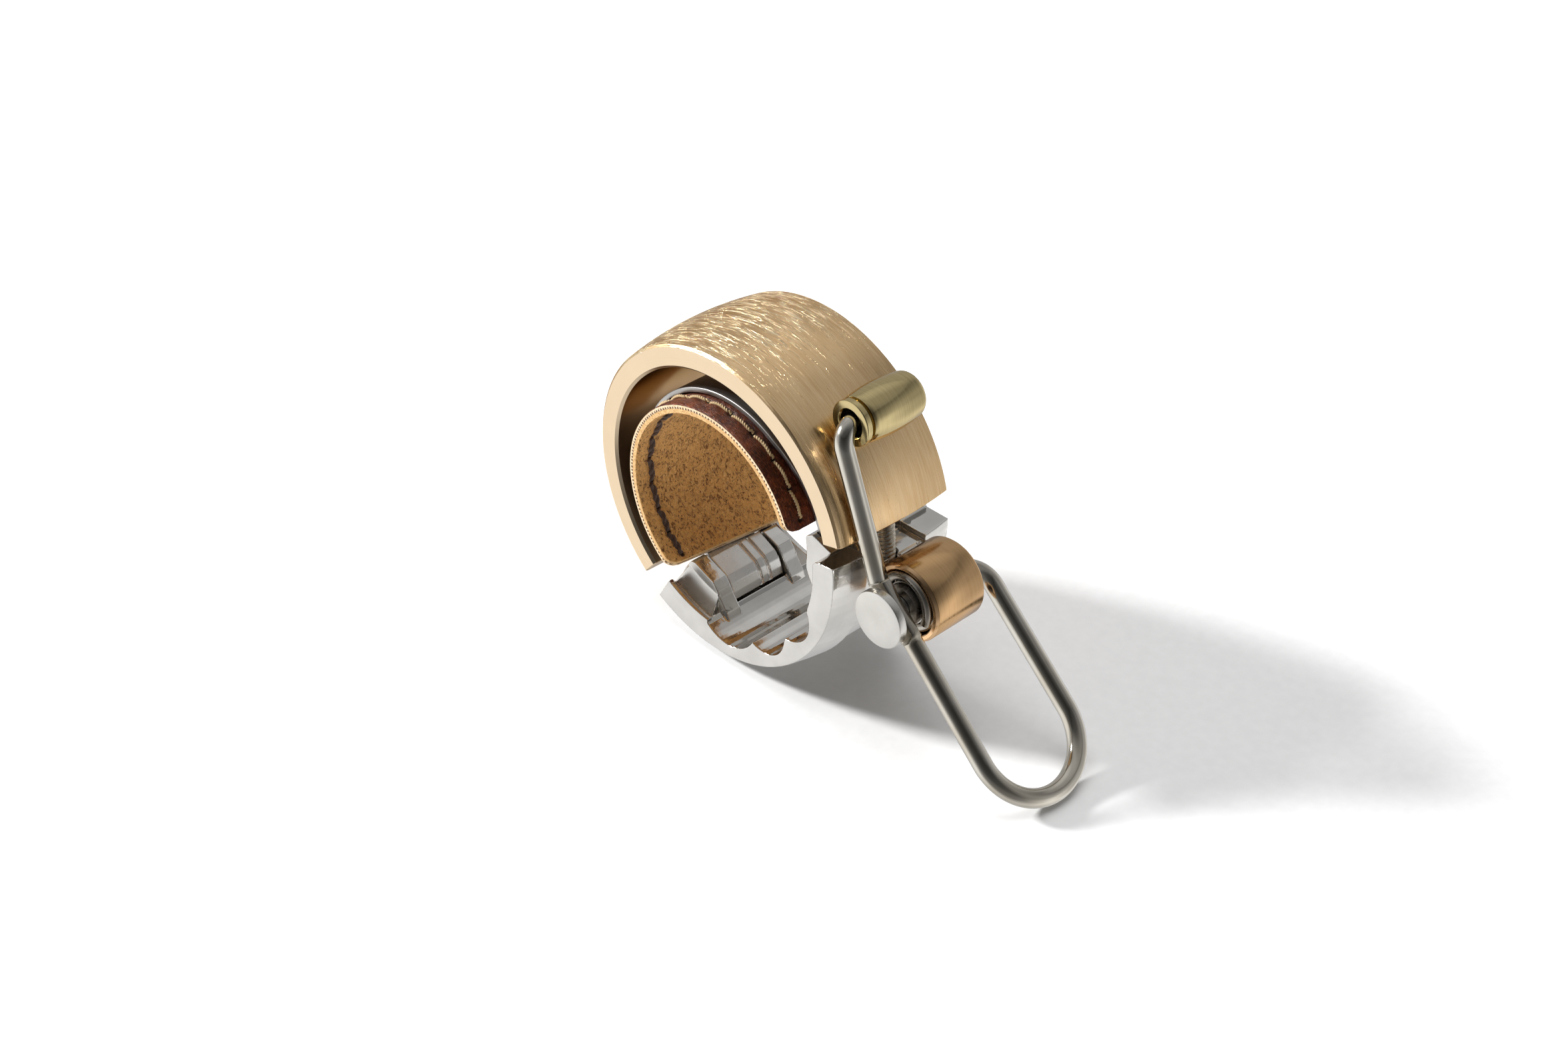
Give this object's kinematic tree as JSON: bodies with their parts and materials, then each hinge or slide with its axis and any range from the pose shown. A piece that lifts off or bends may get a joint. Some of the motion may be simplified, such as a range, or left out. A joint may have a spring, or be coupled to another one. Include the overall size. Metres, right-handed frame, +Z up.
{
  "type": "bicycle bell",
  "caption": "Ring-shaped handlebar bell: open brass chime over a leather-lined clamp, with a sprung wire lever and barrel hammer.",
  "frame": {"origin": "on the handlebar's axis, at the chime's mid width", "axes": "+Y along the handlebar, away from the pivot pin's head; +Z up as the bell lies on a table; +X towards the lever"},
  "size_m": [0.0593, 0.0172, 0.037],
  "materials": {
    "bell_brass": "brushed, clear lacquer",
    "hammer_brass": "satin turned",
    "sleeve_copper": "satin turned",
    "cast_silver": "fine cast, satin plated",
    "buckle_silver": "satin plated",
    "pin_silver": "matte blasted",
    "wire_nickel": "polished nickel",
    "spring_steel": "drawn wire",
    "steel": "plain",
    "screw_steel": "stainless",
    "bush_bronze": "sintered",
    "leather_tan": "suede flesh side",
    "leather_brown": "oiled grain side",
    "thread": "waxed thread",
    "hammer_liner": "moulded"
  },
  "bodies": {
    "clamp": {"bell_ring": "bell_brass", "bell_stud": "steel", "leather_lining": "leather_tan", "leather_cover": "leather_brown", "thread_front": "thread", "thread_rear": "thread", "strap": "steel", "strap_rivet": "steel", "bracket": "cast_silver", "strap_buckle": "buckle_silver", "clamp_screw": "screw_steel", "clamp_washer": "steel", "spring_sleeve": "sleeve_copper", "return_spring": "spring_steel", "pivot_bush_front": "bush_bronze", "pivot_bush_rear": "bush_bronze", "thrust_washer": "steel", "rear_washer": "steel"},
    "lever": {"lever_wire": "wire_nickel", "hammer": "hammer_brass", "hammer_bush": "hammer_liner", "pivot_pin": "pin_silver", "retaining_clip": "steel"}
  },
  "joints": [
    {"name": "lever_pivot", "type": "hinge", "parent": "clamp", "child": "lever", "pos_m": [0.0226, 0, -0.0013], "axis": [0, 1, 0], "range_deg": [-1.2, 28], "stiffness_Nm_per_rad": 0.05}
  ]
}
